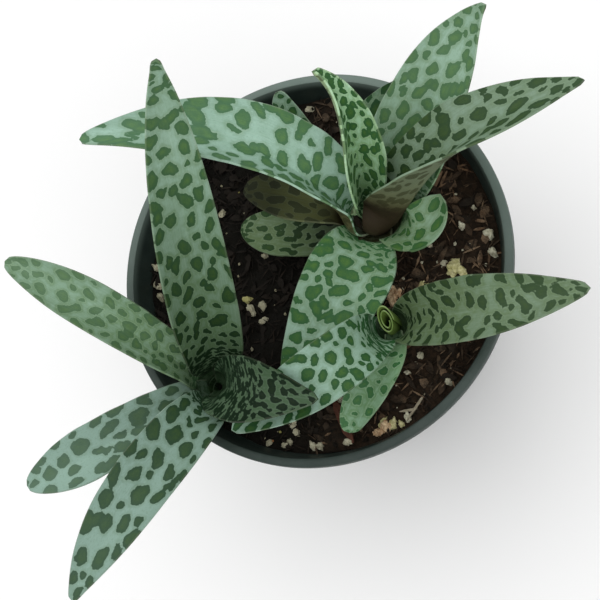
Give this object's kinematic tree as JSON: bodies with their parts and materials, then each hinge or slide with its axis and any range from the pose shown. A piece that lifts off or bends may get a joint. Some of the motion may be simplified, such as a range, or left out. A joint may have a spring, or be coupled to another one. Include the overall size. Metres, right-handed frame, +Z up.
{
  "type": "potted plant",
  "caption": "Silver squill with spotted channelled leaves growing from small bulbs in dark potting mix, in a round tapered nursery pot.",
  "frame": {"origin": "centre of the pot's underside", "axes": "+Z up along the pot's axis; +Y to the back and +X to the right as seen in the picture"},
  "size_m": [0.1525, 0.141, 0.136],
  "materials": {
    "pot": "dark green moulded plastic with a soft sheen",
    "soil": "dark peat and bark mix with pale perlite grains",
    "bulb": "papery brown-purple tunic",
    "leaf": "satin silver green with dark green spots",
    "bud": "satin lime green"
  },
  "bodies": {
    "root": {"pot": "pot", "soil": "soil", "bulb_a": "bulb", "bulb_b": "bulb", "bulb_c": "bulb", "bud_c": "bud", "leaf_a1": "leaf", "leaf_a2": "leaf", "leaf_a3": "leaf", "leaf_a4": "leaf", "leaf_a5": "leaf", "leaf_a6": "leaf", "leaf_a7": "leaf", "leaf_a8": "leaf", "leaf_a10": "leaf", "leaf_a11": "leaf", "leaf_b1": "leaf", "leaf_b2": "leaf", "leaf_b3": "leaf", "leaf_b4": "leaf", "leaf_b5": "leaf", "leaf_c1": "leaf", "leaf_c2": "leaf", "leaf_c3": "leaf"}
  },
  "joints": []
}
